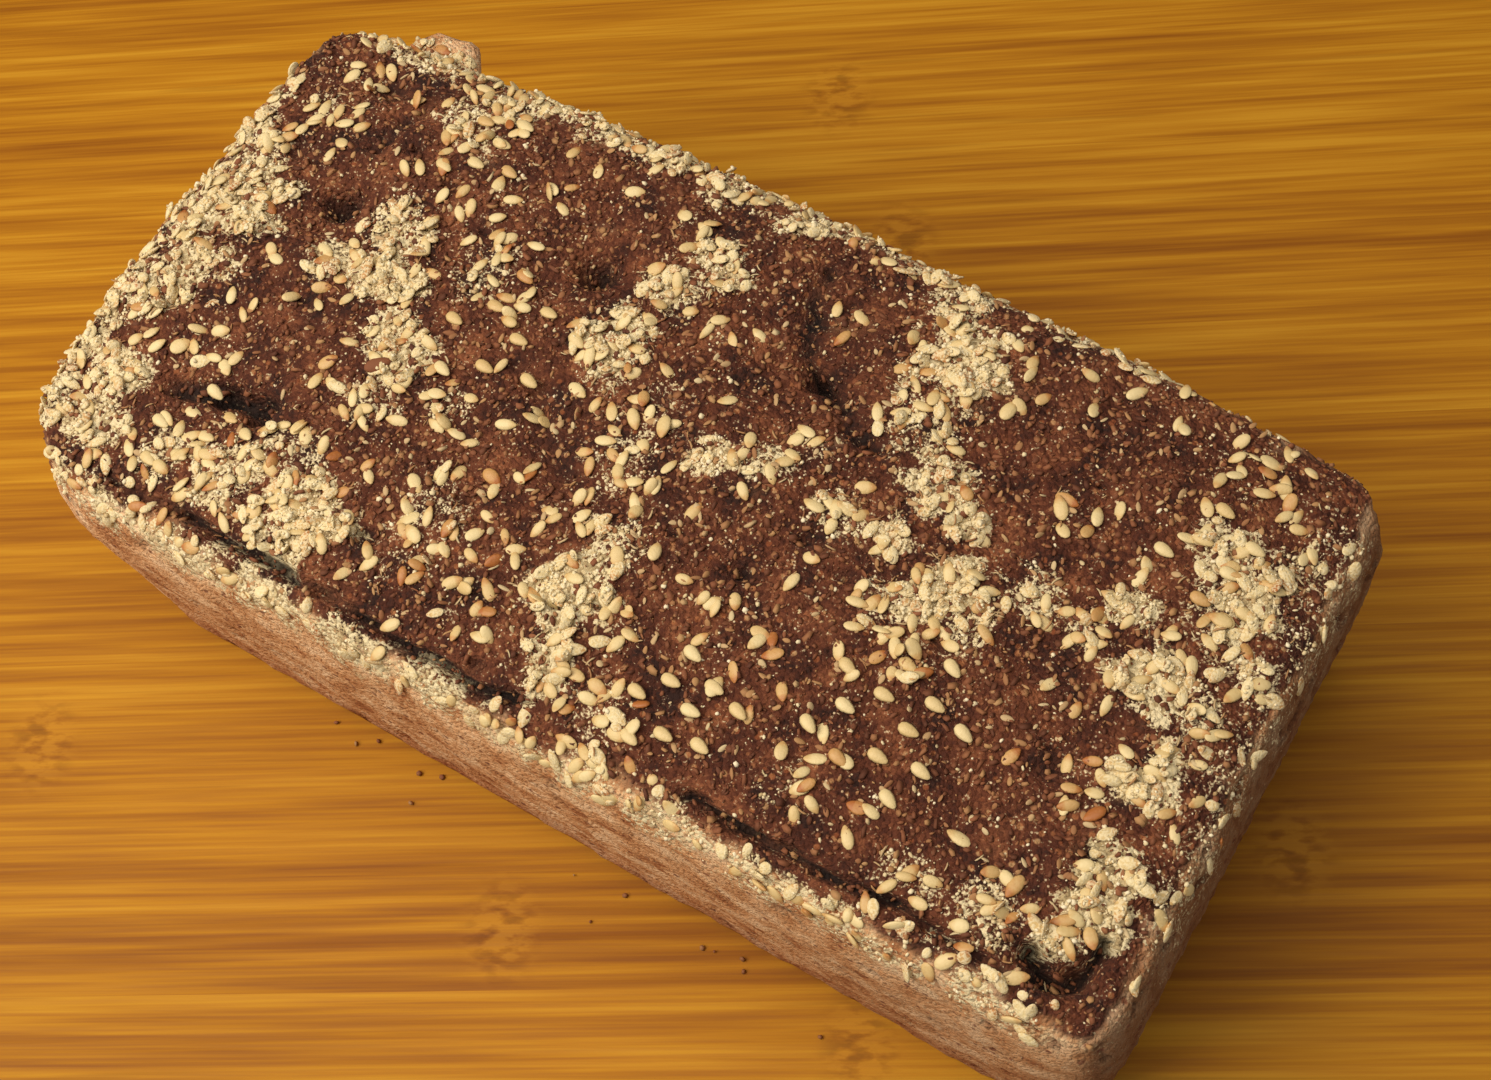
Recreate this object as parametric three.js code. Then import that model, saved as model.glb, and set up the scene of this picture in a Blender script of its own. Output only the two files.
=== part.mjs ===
// A seeded wholemeal tin loaf that rests on a bamboo chopping board.
// Millimetres, +Z up. The origin is the middle of the board's underside, and +X runs along the grain.
// The loaf was baked as one piece, so it is one solid. Whole sesame seeds lie on its crust, each a solid.
import * as THREE from "three";
import { mergeVertices } from "three/addons/utils/BufferGeometryUtils.js";

// Driving dimensions
const REST_GAP = 0.3; // between pieces that touch
const BOARD = { length: 400, width: 300, thickness: 18, cornerRadius: 16, edgeRadius: 3 };
const LOAF = {
  length: 191,
  width: 94,
  wallHeight: 58.5, // up to the shoulder, before the crown rises
  crown: 6, // how far the middle of the top stands above the walls
  edgeDrop: 0.5, // the share of the crown that is gone at each edge
  cornerRadius: 7.5, // of the upright corners, from the tin
  bluntRadius: 13, // of the near left corner, where the dough didn't fill the tin
  shoulderRadius: 5.5, // between wall and top
  belly: 1.8, // how far the walls swell outwards, most just below the shoulder
  bow: 3.2, // how far the far side and the left end lean out at their middle
  turn: -30.4, // degrees about Z, from the grain
  x: -1,
  y: -16.5,
};
const SEED = { length: 3.3, width: 1.95, thickness: 0.9, taper: 0.3 };

// How many cells the loaf's skin has along its length, width and height
const LOAF_CELLS = { length: 34, width: 17, height: 8 };

// Hollows in the top crust, where gas broke through or the dough folded: place, radius and depth
const HOLLOWS = [
  { x: -71, y: 14, radius: 6, depth: 3.2 },
  { x: -27, y: 23, radius: 6, depth: 3.0 },
  { x: 14, y: 22, radius: 6, depth: 3.0 },
  { x: -66, y: -24, radius: 8, depth: 3.0 },
  { x: -20, y: -8, radius: 9, depth: 1.6 },
  { x: 19, y: -9, radius: 5, depth: 1.4 },
  { x: -82, y: 37, radius: 8, depth: 1.8 },
  { x: 84, y: -37, radius: 5, depth: 2.4 },
];

// Groups of whole seeds on the top crust: middle, reach and number of seeds
const SEED_GROUPS = [
  { x: 50, y: -20, reach: 12, count: 13 },
  { x: 22, y: -32, reach: 9, count: 9 },
  { x: 78, y: 22, reach: 9, count: 7 },
  { x: -55, y: 35, reach: 9, count: 8 },
  { x: -33, y: 6, reach: 12, count: 9 },
  { x: -68, y: -30, reach: 9, count: 9 },
];

function clamp(value, low, high) {
  return Math.min(Math.max(value, low), high);
}

// Height of the top crust above the top of the walls
function crownRise(x, y) {
  const along = clamp(Math.abs((2 * x) / LOAF.length), 0, 1);
  const across = clamp(Math.abs((2 * y) / LOAF.width), 0, 1);
  const dome = LOAF.crown * (1 - LOAF.edgeDrop * along ** 3) * (1 - LOAF.edgeDrop * across ** 3);
  const swell = 0.5 * Math.sin(x / 15 + 0.6) * Math.cos(y / 13) + 0.4 * Math.sin(x / 7.5 - y / 10);
  let rise = dome + swell;
  for (const hollow of HOLLOWS) {
    const distance = Math.hypot(x - hollow.x, y - hollow.y) / hollow.radius;
    rise -= hollow.depth * Math.exp(-distance * distance);
  }
  return rise;
}

// Even cells from -1 to 1, crowded towards both ends, where the loaf turns its corners
function crowd(s) {
  return s * (1.3 - 0.3 * s * s);
}

// Moves a point of the upright box to its place on the baked loaf
function bake(point) {
  const halfLength = LOAF.length / 2;
  const halfWidth = LOAF.width / 2;
  let x = crowd(point.x) * halfLength;
  let y = crowd(point.y) * halfWidth;
  let below = LOAF.wallHeight * (1 - point.z) ** 1.5;

  // Round the upright corners: the square around each corner's centre becomes a quarter disc
  const cornerRadius = x < 0 && y < 0 ? LOAF.bluntRadius : LOAF.cornerRadius;
  const centreX = clamp(x, cornerRadius - halfLength, halfLength - cornerRadius);
  const centreY = clamp(y, cornerRadius - halfWidth, halfWidth - cornerRadius);
  const out = new THREE.Vector2(x - centreX, y - centreY);
  let reach = Math.max(Math.abs(out.x), Math.abs(out.y));

  // Round the shoulder between wall and top
  const radius = LOAF.shoulderRadius;
  const inset = cornerRadius - reach;
  if (inset < radius && below < radius) {
    const arc = new THREE.Vector2(inset - radius, below - radius).setLength(radius);
    reach = cornerRadius - (radius + arc.x);
    below = radius + arc.y;
  }
  const height = LOAF.wallHeight - below;
  const belly = LOAF.belly * Math.sin(Math.PI * (height / LOAF.wallHeight) ** 1.8);
  if (reach > 0) {
    out.setLength(reach + (belly * reach) / cornerRadius);
  }
  x = centreX + out.x;
  y = centreY + out.y;
  const lift = (height / LOAF.wallHeight) ** 2;
  const rise = crownRise(x, y) * lift;

  // Let the far side and the left end lean out over the board
  const along = x / halfLength;
  const across = y / halfWidth;
  const bow = LOAF.bow * lift;
  x -= bow * clamp(1 - across * across, 0, 1) * Math.max(0, -along) ** 3;
  y += bow * clamp(1 - along * along, 0, 1) * Math.max(0, across) ** 3;
  return new THREE.Vector3(x, y, height + rise);
}

// The board: one slab glued up from bamboo strips, with rounded corners and eased edges
function makeBoard() {
  const { length, width, thickness, cornerRadius, edgeRadius } = BOARD;
  const left = edgeRadius - length / 2;
  const front = edgeRadius - width / 2;
  const corner = cornerRadius - edgeRadius;
  const outline = new THREE.Shape();
  outline.moveTo(left + corner, front);
  outline.lineTo(-left - corner, front);
  outline.absarc(-left - corner, front + corner, corner, -Math.PI / 2, 0);
  outline.lineTo(-left, -front - corner);
  outline.absarc(-left - corner, -front - corner, corner, 0, Math.PI / 2);
  outline.lineTo(left + corner, -front);
  outline.absarc(left + corner, -front - corner, corner, Math.PI / 2, Math.PI);
  outline.lineTo(left, front + corner);
  outline.absarc(left + corner, front + corner, corner, Math.PI, 1.5 * Math.PI);
  const geometry = new THREE.ExtrudeGeometry(outline, {
    depth: thickness - 2 * edgeRadius,
    bevelThickness: edgeRadius,
    bevelSize: edgeRadius,
    bevelSegments: 3,
    curveSegments: 5,
  });
  const bamboo = new THREE.MeshStandardMaterial({ color: 0xb9822f, roughness: 0.5, metalness: 0 });
  const board = new THREE.Mesh(geometry, bamboo);
  board.name = "bamboo_board";
  board.position.z = edgeRadius;
  return board;
}

// The loaf: one baked solid, in its own frame, with its underside at z = 0
function makeLoaf() {
  const { length, width, height } = LOAF_CELLS;
  const geometry = new THREE.BoxGeometry(2, 2, 1, length, width, height);
  geometry.translate(0, 0, 0.5);
  const place = geometry.getAttribute("position");
  const point = new THREE.Vector3();
  for (let i = 0; i < place.count; i += 1) {
    const baked = bake(point.fromBufferAttribute(place, i));
    place.setXYZ(i, baked.x, baked.y, baked.z);
  }
  geometry.deleteAttribute("normal");
  geometry.deleteAttribute("uv");
  const crumb = new THREE.MeshStandardMaterial({ color: 0x6b4232, roughness: 0.9, metalness: 0 });
  const loaf = new THREE.Mesh(mergeVertices(geometry, 1e-4), crumb);
  loaf.name = "loaf";
  return loaf;
}

// One sesame seed: a flat drop, pointed towards +X
function makeSeedGeometry() {
  const geometry = new THREE.SphereGeometry(0.5, 8, 6);
  geometry.rotateZ(Math.PI / 2);
  const place = geometry.getAttribute("position");
  for (let i = 0; i < place.count; i += 1) {
    const along = 2 * place.getX(i);
    const slim = 1 - SEED.taper * along;
    const x = (along * SEED.length) / 2;
    const y = place.getY(i) * SEED.width * slim;
    const z = place.getZ(i) * SEED.thickness * slim;
    place.setXYZ(i, x, y, z);
  }
  return geometry;
}

// Whole seeds lie flat on the top crust. In each group they spread out from its middle by the golden angle.
function makeSeeds(loaf) {
  const geometry = makeSeedGeometry();
  const hull = new THREE.MeshStandardMaterial({ color: 0xe3cf9c, roughness: 0.55, metalness: 0 });
  const goldenAngle = Math.PI * (3 - Math.sqrt(5));
  const clear = REST_GAP + (SEED.thickness * (1 + SEED.taper)) / 2;
  const up = new THREE.Vector3(0, 0, 1);
  const down = new THREE.Vector3(0, 0, -1);
  const above = new THREE.Vector3();
  const ray = new THREE.Raycaster();
  const seeds = [];
  for (const group of SEED_GROUPS) {
    for (let i = 0; i < group.count; i += 1) {
      const distance = group.reach * Math.sqrt((i + 0.5) / group.count);
      const angle = i * goldenAngle;
      const x = group.x + distance * Math.cos(angle);
      const y = group.y + distance * Math.sin(angle);
      above.set(x, y, 2 * LOAF.wallHeight);
      ray.set(above, down);
      const [hit] = ray.intersectObject(loaf);
      const seed = new THREE.Mesh(geometry, hull);
      seed.name = `sesame_seed_${String(seeds.length + 1).padStart(2, "0")}`;
      seed.position.copy(hit.point).addScaledVector(hit.face.normal, clear);
      seed.quaternion.setFromUnitVectors(up, hit.face.normal);
      seed.rotateZ(2.6 * angle);
      seeds.push(seed);
    }
  }
  return seeds;
}

const board = makeBoard();
const loaf = makeLoaf();
const baked = new THREE.Group();
baked.add(loaf, ...makeSeeds(loaf));
baked.position.set(LOAF.x, LOAF.y, BOARD.thickness + REST_GAP);
baked.rotation.z = THREE.MathUtils.degToRad(LOAF.turn);

const part = new THREE.Group();
part.add(board, baked);

export default part;
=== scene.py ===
# A seeded wholemeal tin loaf on a bamboo chopping board. Metres, +Z up.
import math

import bmesh
import bpy
import numpy as np
from mathutils import Matrix, Quaternion, Vector
from mathutils.bvhtree import BVHTree


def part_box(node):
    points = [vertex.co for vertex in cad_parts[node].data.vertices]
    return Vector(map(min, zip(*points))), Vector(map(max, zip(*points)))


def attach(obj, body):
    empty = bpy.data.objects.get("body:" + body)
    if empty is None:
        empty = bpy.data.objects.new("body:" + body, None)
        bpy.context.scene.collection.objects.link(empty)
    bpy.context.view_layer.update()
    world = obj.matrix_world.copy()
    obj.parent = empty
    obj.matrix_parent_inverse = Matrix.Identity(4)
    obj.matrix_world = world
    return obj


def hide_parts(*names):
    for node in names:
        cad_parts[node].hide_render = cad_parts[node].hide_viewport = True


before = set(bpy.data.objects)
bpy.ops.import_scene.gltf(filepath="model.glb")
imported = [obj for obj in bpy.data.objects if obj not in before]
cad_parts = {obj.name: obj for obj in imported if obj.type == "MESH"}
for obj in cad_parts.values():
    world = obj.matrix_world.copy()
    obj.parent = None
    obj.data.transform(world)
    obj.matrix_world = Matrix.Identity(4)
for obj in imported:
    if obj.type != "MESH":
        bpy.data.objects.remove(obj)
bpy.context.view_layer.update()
MM = 0.001


# Camera. It looks steeply down on the loaf from in front, as a person standing at the worktop does,
# and leans a little clockwise.
CAMERA_PLACE = Vector((0.0429, -0.1501, 0.3563))
CAMERA_AIM = Vector((0.0108, -0.0294, 0.0800))
CAMERA_LEAN = math.radians(-15.75)
CAMERA_LENS = 50.0
CAMERA_SENSOR = 36.0

bpy.ops.object.camera_add(location=CAMERA_PLACE)
camera = bpy.context.object
camera.name = "camera"
camera.rotation_mode = "QUATERNION"
straight = (CAMERA_AIM - CAMERA_PLACE).to_track_quat("-Z", "Y")
camera.rotation_quaternion = straight @ Quaternion((0, 0, 1), CAMERA_LEAN)
camera.data.lens = CAMERA_LENS
camera.data.sensor_width = CAMERA_SENSOR
bpy.context.scene.camera = camera


# Board. A slab glued up from flat-pressed bamboo strips about 20 mm wide, in three plies,
# planed, sanded and oiled, with its corners cut round and its edges eased.
BOARD_CORNER = 16 * MM
BOARD_EASE = 3 * MM
STRIP_WIDTH = 20.0  # mm
PLY_THICKNESS = 6.0  # mm
KNUCKLE_REACH = (9, 12, 30)  # mm, along the grain, across it and down
# Where the culm's knuckles show on the top: middle, in mm
KNUCKLES = [(21, 92), (33, 58), (-123, -37), (-37, -72), (23, -92), (94, -61), (-150, 40), (160, 20),
            (120, 118), (-60, 132), (-172, -110), (178, -88), (-95, 85)]


def place_only(target):
    """Selects one object and makes it the active one."""
    bpy.ops.object.select_all(action="DESELECT")
    target.select_set(True)
    bpy.context.view_layer.objects.active = target


def pick(kind, wanted):
    """In edit mode, selects only the vertices, edges or faces that are wanted."""
    bpy.ops.mesh.select_mode(type={"verts": "VERT", "edges": "EDGE", "faces": "FACE"}[kind])
    bpy.ops.mesh.select_all(action="DESELECT")
    shape = bmesh.from_edit_mesh(bpy.context.edit_object.data)
    for element in getattr(shape, kind):
        if wanted(element):
            element.select_set(True)
    bmesh.update_edit_mesh(bpy.context.edit_object.data)


def runs_along(edge, axis):
    """True if the edge runs along this axis: 0 is X, 1 is Y and 2 is Z."""
    way = (edge.verts[1].co - edge.verts[0].co).normalized()
    return abs(way[axis]) > 0.999


def finish_piece(piece):
    """Puts the piece's place into its mesh, and ties it to the frame."""
    place_only(piece)
    bpy.ops.object.transform_apply(location=True, rotation=True, scale=True)
    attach(piece, "root")


def paint(code):
    """A linear colour from an sRGB hex value such as C98F43."""
    parts = [int(code[i:i + 2], 16) / 255 for i in (0, 2, 4)]
    return (*[c / 12.92 if c <= 0.04045 else ((c + 0.055) / 1.055) ** 2.4 for c in parts], 1)


def add(tree, kind, inputs=None, **settings):
    """Adds a node. An input is a value, or another node's output socket, which is linked."""
    made = tree.nodes.new("ShaderNode" + kind)
    for name, value in settings.items():
        setattr(made, name, value)
    for name, value in (inputs or {}).items():
        if isinstance(value, bpy.types.NodeSocket):
            tree.links.new(value, made.inputs[name])
        else:
            made.inputs[name].default_value = value
    return made


def new_material(name):
    """An empty node material. Returns it, its tree and its Principled shader."""
    material = bpy.data.materials.new(name)
    material.use_nodes = True
    tree = material.node_tree
    tree.nodes.clear()
    shader = add(tree, "BsdfPrincipled")
    add(tree, "OutputMaterial", {"Surface": shader.outputs["BSDF"]})
    return material, tree, shader


def ramp(tree, value, stops):
    """A colour ramp: stops are (place, hex colour)."""
    made = add(tree, "ValToRGB", {"Fac": value})
    steps = made.color_ramp.elements
    while len(steps) < len(stops):
        steps.new(1.0)
    for step, (place, code) in zip(steps, stops):
        step.position = place
        step.color = paint(code)
    return made.outputs["Color"]


def blend(tree, share, first, second):
    """Mixes two colours. Share 0 gives the first and share 1 the second."""
    return add(tree, "Mix", {"Factor": share, 6: first, 7: second}, data_type="RGBA").outputs[2]


def sum_up(tree, operation, *values):
    """One arithmetic step of a pattern."""
    return add(tree, "Math", dict(enumerate(values)), operation=operation).outputs[0]


def fade(tree, value, low, high):
    """Rises smoothly from 0 to 1 as the value goes from low to high. It falls where low is above high."""
    inputs = {"Value": value, "From Min": low, "From Max": high}
    return add(tree, "MapRange", inputs, interpolation_type="SMOOTHSTEP").outputs[0]


def millimetres(tree, turn=0.0):
    """The piece's own coordinates in mm, turned about Z."""
    own = add(tree, "TexCoord").outputs["Object"]
    inputs = {"Vector": own, "Scale": (1000, 1000, 1000), "Rotation": (0, 0, turn)}
    return add(tree, "Mapping", inputs).outputs["Vector"]


def make_bamboo():
    """Oiled, caramelised bamboo: long fibres, a step in tone from strip to strip, and blotchy knuckles."""
    material, tree, shader = new_material("oiled_caramel_bamboo")
    place = millimetres(tree)
    axes = add(tree, "SeparateXYZ", {"Vector": place}).outputs
    ply = sum_up(tree, "FLOOR", sum_up(tree, "DIVIDE", axes["Z"], PLY_THICKNESS))
    across = sum_up(tree, "DIVIDE", axes["Y"], STRIP_WIDTH)
    strip = sum_up(tree, "FLOOR", sum_up(tree, "MULTIPLY_ADD", ply, 0.37, across))
    cell = add(tree, "CombineXYZ", {"X": strip, "Y": ply}).outputs[0]
    chance = add(tree, "TexWhiteNoise", {"Vector": cell}, noise_dimensions="2D").outputs["Value"]
    along = sum_up(tree, "MULTIPLY_ADD", chance, 900.0, axes["X"])
    moved = add(tree, "CombineXYZ", {"X": along, "Y": axes["Y"], "Z": axes["Z"]}).outputs[0]

    def streaks(length, width, detail):
        """Noise drawn out along the grain, in mm."""
        scale = {"Vector": moved, "Scale": (1 / length, 1 / width, 1 / width)}
        drawn = add(tree, "Mapping", scale).outputs["Vector"]
        return add(tree, "TexNoise", {"Vector": drawn, "Scale": 1.0, "Detail": detail}).outputs["Fac"]

    broad = streaks(170, 7, 2)
    fibre = streaks(75, 2.0, 2)
    fine = streaks(30, 0.6, 2)
    vessel = streaks(45, 1.1, 1)

    knuckle = None
    for x, y in KNUCKLES:
        middle = (x, y, board_high.z / MM)
        offset = add(tree, "VectorMath", {0: place, 1: middle}, operation="SUBTRACT").outputs[0]
        squeezed = add(tree, "VectorMath", {0: offset, 1: KNUCKLE_REACH}, operation="DIVIDE")
        far = add(tree, "VectorMath", {0: squeezed.outputs[0]}, operation="LENGTH").outputs["Value"]
        near = fade(tree, far, 1.0, 0.2)
        knuckle = near if knuckle is None else sum_up(tree, "MAXIMUM", knuckle, near)
    short = add(tree, "Mapping", {"Vector": place, "Scale": (1 / 4.0, 1 / 1.6, 1 / 1.6)}).outputs["Vector"]
    blotch = add(tree, "TexNoise", {"Vector": short, "Scale": 1.0, "Detail": 3}).outputs["Fac"]

    tone = sum_up(tree, "MULTIPLY", broad, 0.32)
    tone = sum_up(tree, "MULTIPLY_ADD", fibre, 0.44, tone)
    tone = sum_up(tree, "MULTIPLY_ADD", fine, 0.24, tone)
    tone = sum_up(tree, "MULTIPLY_ADD", sum_up(tree, "SUBTRACT", chance, 0.5), 0.08, tone)
    wood = ramp(tree, tone, [(0.36, "8A520C"), (0.46, "9E6510"), (0.54, "AE7514"), (0.64, "BE8820")])
    dark = sum_up(tree, "MULTIPLY", fade(tree, vessel, 0.62, 0.76), 0.22)
    wood = blend(tree, dark, wood, paint("6E3A06"))
    swirl = ramp(tree, blotch, [(0.36, "653406"), (0.46, "935A0E"), (0.56, "B87F20")])
    wood = blend(tree, sum_up(tree, "MULTIPLY", knuckle, 0.5), wood, swirl)
    tree.links.new(wood, shader.inputs["Base Color"])
    gloss = fade(tree, fine, 0.2, 0.8)
    tree.links.new(sum_up(tree, "MULTIPLY_ADD", gloss, 0.12, 0.52), shader.inputs["Roughness"])
    shader.inputs["Specular IOR Level"].default_value = 0.15
    relief = {"Height": fine, "Strength": 0.2, "Distance": 0.1 * MM}
    tree.links.new(add(tree, "Bump", relief).outputs[0], shader.inputs["Normal"])
    return material


board_low, board_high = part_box("bamboo_board")
bpy.ops.object.select_all(action="DESELECT")
bpy.ops.mesh.primitive_cube_add(size=1, location=(board_low + board_high) / 2, scale=board_high - board_low)
board = bpy.context.object
board.name = "board"
bpy.ops.object.transform_apply(location=True, rotation=True, scale=True)
bpy.ops.object.mode_set(mode="EDIT")
pick("edges", lambda e: runs_along(e, 2))
bpy.ops.mesh.bevel(offset=BOARD_CORNER, segments=12, affect="EDGES")
pick("edges", lambda e: not runs_along(e, 2))
bpy.ops.mesh.bevel(offset=BOARD_EASE, segments=5, affect="EDGES")
bpy.ops.object.mode_set(mode="OBJECT")
bpy.ops.object.shade_smooth_by_angle(angle=math.radians(30))
board.data.materials.append(make_bamboo())
finish_piece(board)
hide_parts("bamboo_board")


# Loaf. Wholemeal dough with bran, baked in a tin: the walls took the tin's flat sides, and the top
# crust dried, sank in places over gas holes, and tore along the near edge where it met the wall.
LOAF_MIDDLE = Vector((-1 * MM, -16.5 * MM, board_high.z))
LOAF_TURN = math.radians(-30.4)
LOAF_CELLS = (318, 158, 42)  # along X, Y and Z
SEED_GAP = 0.3  # mm, by which the seeds of the frame stand clear of its plain loaf
SHOULDER_ROOM = 0.9  # mm, by which the far and left shoulders stand back under their heaped seeds
PINHOLES = 90
DEEP_HOLE = 3  # mm
DEEP_CRACK = 2.4  # mm
BROKEN_UP = 5  # mm: shallower cracks close up here and there
# Lumps of the top crust and of the tin's walls: height and size in mm, and the seed of their pattern
CRUST_LUMPS = [(0.60, 16, 1), (0.50, 7, 2), (0.34, 3.4, 5), (0.38, 1.9, 6), (0.28, 1.2, 24)]
WALL_LUMPS = [(0.35, 18, 15), (0.36, 3.6, 16), (0.34, 1.7, 25)]
# A tongue of dough that ran over the tin's far edge: its middle, half its length and its reach in mm
TONGUE_MIDDLE = -76
TONGUE_HALF = 7.5
TONGUE_REACH = 5.2
# Holes in the top crust: middle, radius and depth in mm
HOLES = [
    (-71.4, 14.6, 3.4, 5.5), (-26.5, 22.7, 3.6, 5.0), (14.3, 22, 2.6, 5.0), (-61, -22, 3.6, 4.5),
    (-68, -22.5, 2.6, 3.0), (-65.5, 28.5, 1.5, 2.0), (-72.5, 25, 1.0, 1.6), (20, -10.5, 1.9, 2.6),
    (74.5, 26.5, 0.9, 1.6), (73.5, 25, 0.9, 1.4), (43.5, 37.5, 1.0, 1.6), (55.5, 41, 0.9, 1.5),
    (-34.5, -16, 1.3, 1.8), (-45.5, -39.5, 1.5, 2.0), (-32.5, -32, 1.7, 2.2), (63, 20.5, 1.0, 1.8),
    (-56.5, 25, 1.4, 1.5), (-84.5, 20, 2.6, 1.6), (-77.5, 37, 3.2, 2.2), (78.5, -6, 1.0, 1.5),
    (28.5, 11, 1.3, 1.5), (7.5, -10, 1.0, 1.4), (25.5, 17, 1.1, 1.5), (-7.5, -41, 1.6, 2.0),
    (47.5, -28.5, 0.9, 1.2), (10.5, -15.5, 0.8, 1.2), (-88, 1, 1.6, 1.5), (-50, 12, 1.3, 1.3),
    (36, -22, 1.2, 1.0), (60, 30, 1.6, 1.0), (-12, 22, 1.4, 1.2), (3, 16, 1.5, 1.2), (66, -25, 1.2, 1.2),
]
# Cracks in the crust: points from one end to the other, width and depth in mm
CRACKS = [
    ([(6.5, 40), (5.5, 35), (7.5, 30), (10.5, 25), (13.5, 22)], 1.1, 2.6),
    ([(13.5, 22), (18.5, 20.5), (21.5, 17), (27.5, 15)], 1.3, 1.8),
    ([(-76.5, -25), (-70.5, -23), (-64.5, -21.5), (-59.5, -22)], 1.9, 2.6),
    ([(-68.5, 40), (-69.5, 35), (-71.5, 30), (-71.5, 26)], 1.2, 1.3),
    ([(-28.5, 3), (-22.5, 0), (-17.5, -6), (-11.5, -10)], 1.6, 1.1),
    ([(-65.5, -3), (-64.5, -8), (-61.5, -14)], 0.8, 1.2),
    ([(72.5, -13), (71.5, -18), (72.5, -22)], 1.0, 1.3),
    ([(80.5, -38.4), (83.5, -40.4), (86.5, -40.4), (88.4, -38.4), (88.8, -35.5), (89, -33.5)], 1.6, 6.0),
    ([(-78, -42.2), (-68, -42.6), (-62, -42.4)], 0.9, 1.6),
    ([(-62, -42.4), (-56, -42.7), (-50, -42.3), (-40, -42.6), (-32, -42.3)], 1.1, 3.2),
    ([(-30, -42.6), (-23, -43.4), (-13, -43.4), (-5, -43.4), (1, -42)], 1.1, 3.0),
    ([(29, -42.6), (38, -43), (45, -42.6), (51, -42.6), (57, -42.2), (63, -41.4)], 1.0, 2.6),
    ([(63, -41.4), (71, -42.8), (78, -42.3)], 0.8, 1.8),
]
# Topping on the crust, in patches where the dough was pressed into it. Each is the middle and the reach
# in mm, the number of loose whole seeds, and how thickly crushed seed and flour lie there, up to 1.
TOPPING = [
    (-58.5, 39, 9, 24, 0.45), (-81.5, 33, 6, 7, 0.10), (-85.5, 29, 4, 4, 0.35), (-84.5, 8, 8, 4, 0.80),
    (-82.5, 4, 4, 1, 1.00), (-92.5, 3, 6, 8, 0.70), (-85.5, -8, 7, 3, 0.75), (-91.5, -13, 6, 6, 0.80),
    (-86.5, -28, 7, 5, 0.90), (-84.5, -35, 7, 7, 0.70), (-59.5, 14, 7, 5, 0.60), (-55.5, 7, 7, 3, 1.00),
    (-64.5, 5, 5, 3, 0.60), (-50.5, -2, 6, 3, 0.80), (-45.0, -4, 6, 6, 0.85), (-34.5, -8, 4, 6, 0.30),
    (-45.5, -13, 5, 4, 0.40), (-17.0, 13, 7, 7, 0.90), (-14.5, 25, 5, 3, 0.70), (-9.5, 32, 5, 3, 0.65),
    (-16.5, 35, 4, 5, 0.10), (-13.5, 8, 6, 6, 0.30), (-3.5, 6, 5, 5, 0.20), (-4.5, -4, 7, 7, 0.30),
    (7.0, 3, 4.5, 2, 1.00), (14.5, 6, 4, 1, 0.60), (18.5, 11, 4, 5, 0.20), (30.5, 35, 8, 3, 0.85),
    (26.5, 44, 6, 4, 0.50), (26.5, 29, 4, 1, 0.80), (31.5, 24, 8, 8, 0.35), (37.5, 15, 6, 3, 0.65),
    (44.5, 11, 4, 1, 1.00), (48.4, 3, 5.5, 2, 1.00), (44.5, -1, 5, 4, 0.85), (52.5, -3, 4, 4, 0.50),
    (38.5, -5, 4, 6, 0.45), (35.5, 5, 4, 2, 0.65), (28.5, 4, 5, 4, 0.40), (58.5, 6, 5, 4, 0.45),
    (66.5, 5, 4, 7, 0.40), (78.0, 3, 6, 6, 1.00), (86.0, 1, 4, 4, 0.45), (88.5, 11, 5, 3, 0.40),
    (85.5, 20, 7, 4, 0.75), (78.0, 25, 6, 8, 0.60), (88.5, 29, 4, 2, 0.40), (70.5, 11, 4, 2, 0.75),
    (80.5, 14, 5, 6, 0.35), (75.5, 35, 6, 5, 0.10), (84.5, 35, 5, 5, 0.05), (74.5, 42, 4, 4, 0.10),
    (46.5, -9, 6, 11, 0.15), (39.5, -11, 5, 5, 0.05), (84.5, -10, 6, 6, 0.80), (78.5, -15, 5, 7, 0.20),
    (85.5, -27, 7, 6, 0.80), (83.5, -35.5, 4, 8, 0.70), (73.5, -37, 6, 8, 0.45), (62.5, -37, 5, 6, 0.30),
    (41.5, -34, 5, 7, 0.15), (11.5, -37, 6, 10, 0.25), (7.5, -27, 4, 6, 0.15), (-1.5, -25, 7, 4, 0.95),
    (1.5, -36, 6, 5, 0.75), (1.5, -15, 5, 2, 0.50), (-15.5, -26, 6, 9, 0.10), (-25.5, -31, 6, 9, 0.20),
    (-26.5, -23, 6, 7, 0.30), (-12.5, -34, 5, 6, 0.10), (-44, -34.5, 9, 16, 0.95), (-58.5, -35, 8, 16, 0.60),
    (-52.5, -27, 7, 10, 0.30), (-70.5, -35, 6, 8, 0.45), (-75.5, -16, 6, 6, 0.10), (-46.5, 22, 7, 8, 0.05),
    (-42.5, 14, 6, 6, 0.30), (-33.5, 13, 5, 4, 0.05), (57.5, 21, 4, 3, 0.10), (-90.5, 19, 5, 4, 0.45),
]
# Topping along the edges: first and last corner of the strip in plan, and how thickly it lies. Seeds are
# heaped along the left and far edges, and the near and right ones are only dusted.
HEAPED_EDGES = [((-98, -40), (-91, 30), 0.60), ((-90, 43), (12, 52), 0.62), ((12, 45.5), (62, 52), 0.45)]
DUSTED_EDGES = [((88.5, -30), (98, 40), 0.24), ((-88, -49), (-5, -43.6), 0.60),
                ((-5, -49), (88, -44.2), 0.45)]
rng = np.random.default_rng(20)
directions = rng.normal(size=(256, 3))
directions /= np.linalg.norm(directions, axis=1)[:, None]
shuffle = rng.permutation(256)


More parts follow.
